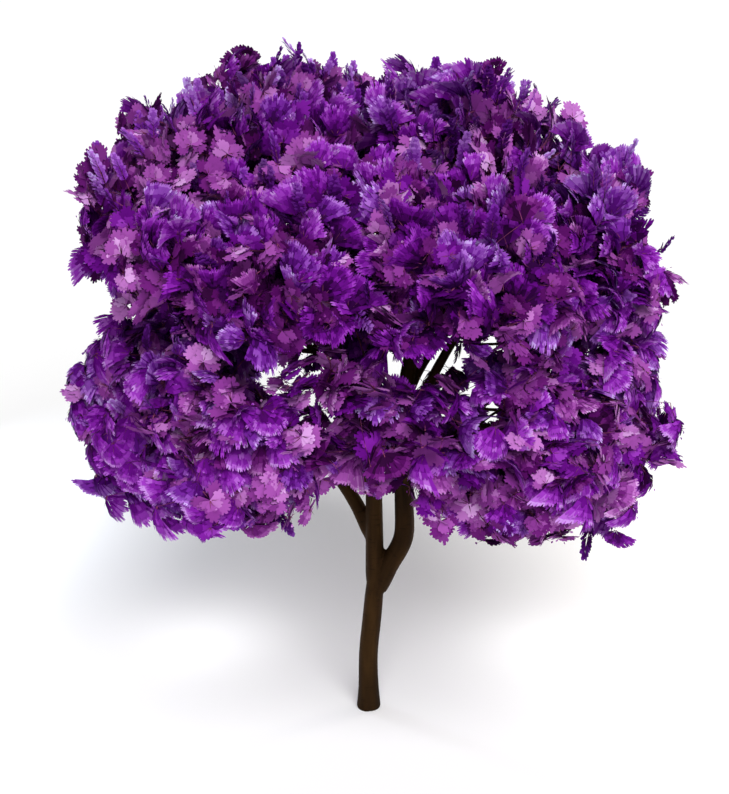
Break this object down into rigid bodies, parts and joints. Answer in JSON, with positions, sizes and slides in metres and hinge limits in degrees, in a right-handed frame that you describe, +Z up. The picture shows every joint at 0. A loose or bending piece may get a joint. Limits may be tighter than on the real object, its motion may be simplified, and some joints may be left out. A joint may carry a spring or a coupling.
{
  "type": "jacaranda tree",
  "caption": "Whole flowering tree with a slim leaning trunk, a low fork, spreading boughs and a rounded violet crown of blossom masses.",
  "frame": {"origin": "middle of the flat cut under the trunk, at ground level", "axes": "+Z up along the trunk; +X towards the elbowed bough; -Y towards the side where the crown arches open over the fork"},
  "size_m": [6.1835, 5.5456, 6.9089],
  "materials": {
    "bark": "dark brown bark, smooth with fine rings and furrows",
    "blossom_violet": "soft matt petals, deep violet",
    "blossom_mauve": "soft matt petals, pinkish mauve"
  },
  "bodies": {
    "root": {"trunk": "bark", "back_left_bough": "bark", "back_right_bough": "bark", "elbow_bough_foot": "bark", "elbow_bough_rise": "bark", "front_left_bough": "bark", "front_right_bough": "bark", "leader_bough": "bark", "left_bough": "bark", "low_right_bough": "bark", "right_bough": "bark", "upper_front_bough": "bark", "upper_left_bough": "bark", "cap_left": "blossom_violet", "cap_right": "blossom_mauve", "high_right": "blossom_violet", "high_back_right": "blossom_mauve", "high_back_left": "blossom_violet", "high_left": "blossom_mauve", "high_front_left": "blossom_violet", "high_front_right": "blossom_mauve", "low_right": "blossom_violet", "low_back_right": "blossom_mauve", "low_back": "blossom_violet", "low_back_left": "blossom_mauve", "low_left": "blossom_violet", "low_front_left": "blossom_mauve", "low_front": "blossom_violet", "low_front_right": "blossom_mauve"}
  },
  "joints": []
}
